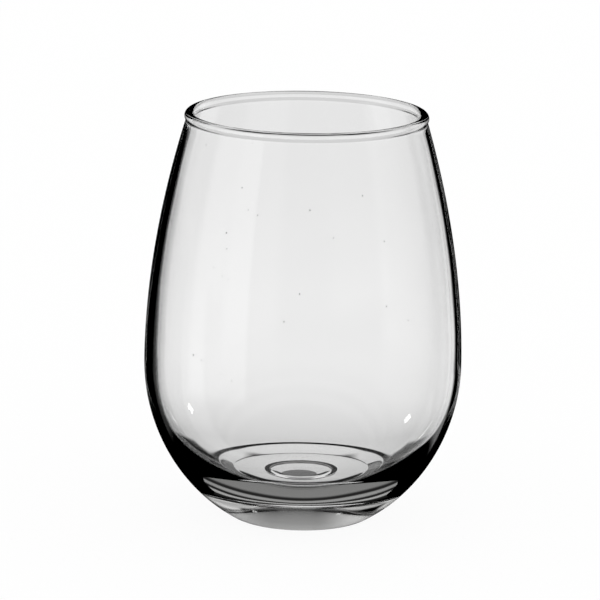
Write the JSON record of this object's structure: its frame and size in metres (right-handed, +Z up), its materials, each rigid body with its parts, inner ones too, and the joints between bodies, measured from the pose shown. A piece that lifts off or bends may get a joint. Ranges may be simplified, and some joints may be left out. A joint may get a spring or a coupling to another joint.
{
  "type": "stemless wine glass",
  "caption": "Clear stemless wine glass: egg-shaped bowl that swells to a low belly and draws in to a beaded rim, on a heavy rounded base with a pushed-up underside.",
  "frame": {"origin": "on the table, under the middle of the glass", "axes": "+Z up along the glass's axis, from the foot ring to the rim; X and Y are level and alike all round"},
  "size_m": [0.09, 0.09, 0.116],
  "materials": {
    "clear_glass": "polished"
  },
  "bodies": {
    "root": {"rim_bead": "clear_glass", "bowl": "clear_glass", "heel": "clear_glass", "base": "clear_glass"}
  },
  "joints": []
}
